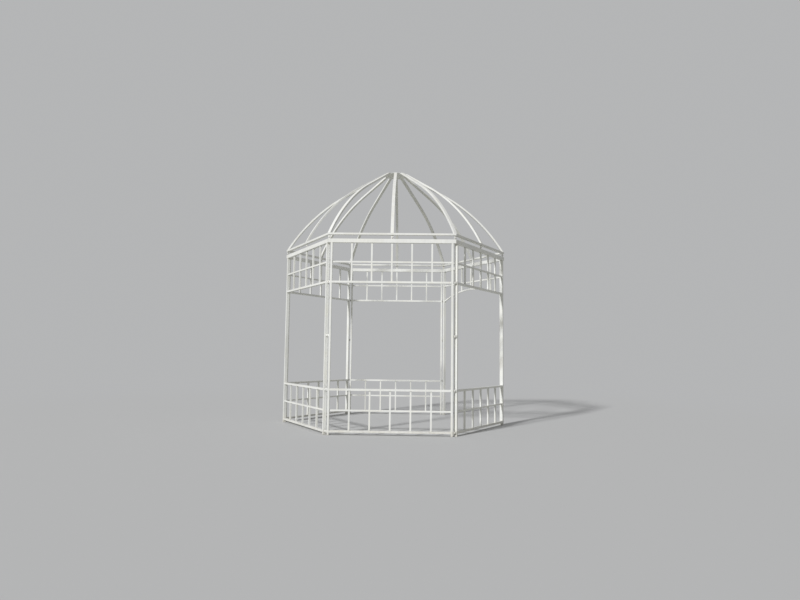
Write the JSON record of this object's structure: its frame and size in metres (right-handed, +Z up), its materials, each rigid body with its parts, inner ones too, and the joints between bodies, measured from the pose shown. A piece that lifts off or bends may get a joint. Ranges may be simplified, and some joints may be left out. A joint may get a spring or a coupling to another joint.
{
  "type": "bandstand",
  "caption": "Open hexagonal garden bandstand of welded steel tube, with lattice balustrades and friezes, an arched entrance and a domed roof of bent ribs.",
  "frame": {"origin": "ground level at the centre of the hexagon", "axes": "+Z up; the front panel faces -Y, the entrance is the right back side, and the left and right corners lie on the X axis"},
  "size_m": [3.8316, 3.3184, 4.346],
  "materials": {
    "frame_paint": "white exterior enamel, satin and slightly chalked",
    "lattice_paint": "white exterior enamel, satin and slightly chalked",
    "roof_paint": "white exterior enamel, weathered to a dull satin",
    "lug_paint": "white exterior enamel over welded lugs"
  },
  "bodies": {
    "root": {"front_uprights": "frame_paint", "right_front_uprights": "frame_paint", "right_back_uprights": "frame_paint", "back_uprights": "frame_paint", "left_back_uprights": "frame_paint", "left_front_uprights": "frame_paint", "front_head_rail": "frame_paint", "right_front_head_rail": "frame_paint", "right_back_head_rail": "frame_paint", "back_head_rail": "frame_paint", "left_back_head_rail": "frame_paint", "left_front_head_rail": "frame_paint", "front_frieze": "lattice_paint", "right_front_frieze": "lattice_paint", "right_back_frieze": "lattice_paint", "back_frieze": "lattice_paint", "left_back_frieze": "lattice_paint", "left_front_frieze": "lattice_paint", "front_balustrade": "lattice_paint", "right_front_balustrade": "lattice_paint", "back_balustrade": "lattice_paint", "left_back_balustrade": "lattice_paint", "left_front_balustrade": "lattice_paint", "front_middle_rib": "roof_paint", "right_front_middle_rib": "roof_paint", "right_back_middle_rib": "roof_paint", "back_middle_rib": "roof_paint", "left_back_middle_rib": "roof_paint", "left_front_middle_rib": "roof_paint", "front_right_corner_rib": "roof_paint", "right_corner_rib": "roof_paint", "back_right_corner_rib": "roof_paint", "back_left_corner_rib": "roof_paint", "left_corner_rib": "roof_paint", "front_left_corner_rib": "roof_paint", "eave_ring": "roof_paint", "ring_lugs": "lug_paint", "rail_lugs": "lug_paint", "left_corner_lugs": "lug_paint", "right_corner_lugs": "lug_paint", "crown_plate": "roof_paint"}
  },
  "joints": []
}
